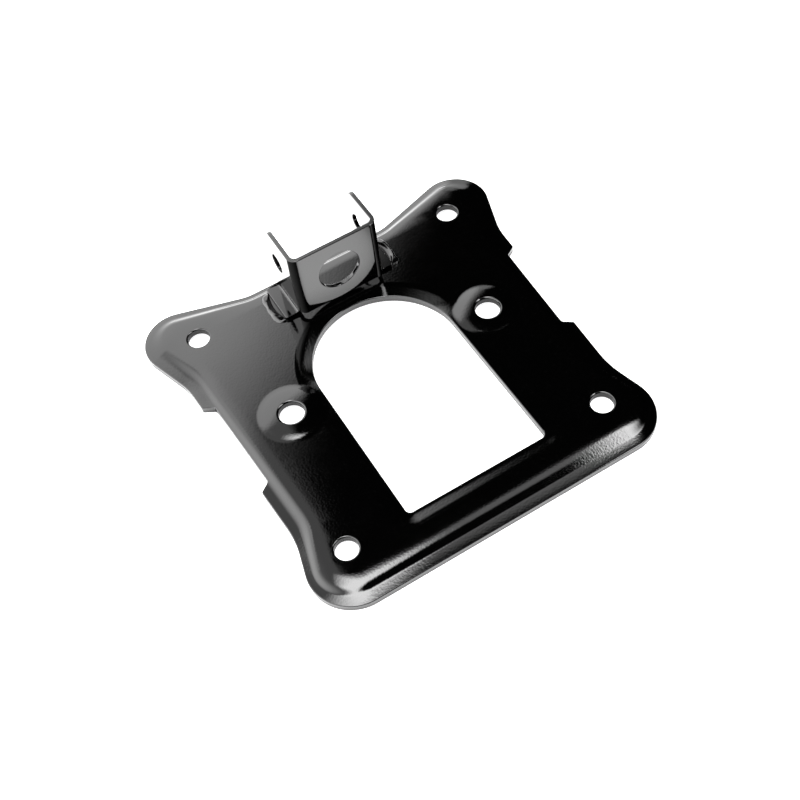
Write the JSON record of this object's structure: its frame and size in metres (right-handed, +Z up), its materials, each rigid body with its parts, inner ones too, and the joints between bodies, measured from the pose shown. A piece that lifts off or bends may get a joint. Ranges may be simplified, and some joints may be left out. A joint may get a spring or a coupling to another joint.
{
  "type": "rear arm mounting plate",
  "caption": "Black painted pressed steel mounting plate with an arched opening, raised bosses, corner bolt holes and a welded U-shaped pivot bracket.",
  "frame": {"origin": "middle of the overall box in X and Y, at the underside of the pressed lip", "axes": "+X across the plate along the pivot hole, +Y from the straight front edge to the rear edge that carries the bracket, +Z up out of the plate"},
  "size_m": [0.1604, 0.1566, 0.039],
  "materials": {
    "plate_paint": "gloss black paint over pressed steel",
    "bracket_paint": "gloss black paint over folded steel",
    "weld_paint": "gloss black paint over a rippled weld bead"
  },
  "bodies": {
    "root": {"mounting_plate": "plate_paint", "pivot_bracket": "bracket_paint", "weld_beads": "weld_paint"}
  },
  "joints": []
}
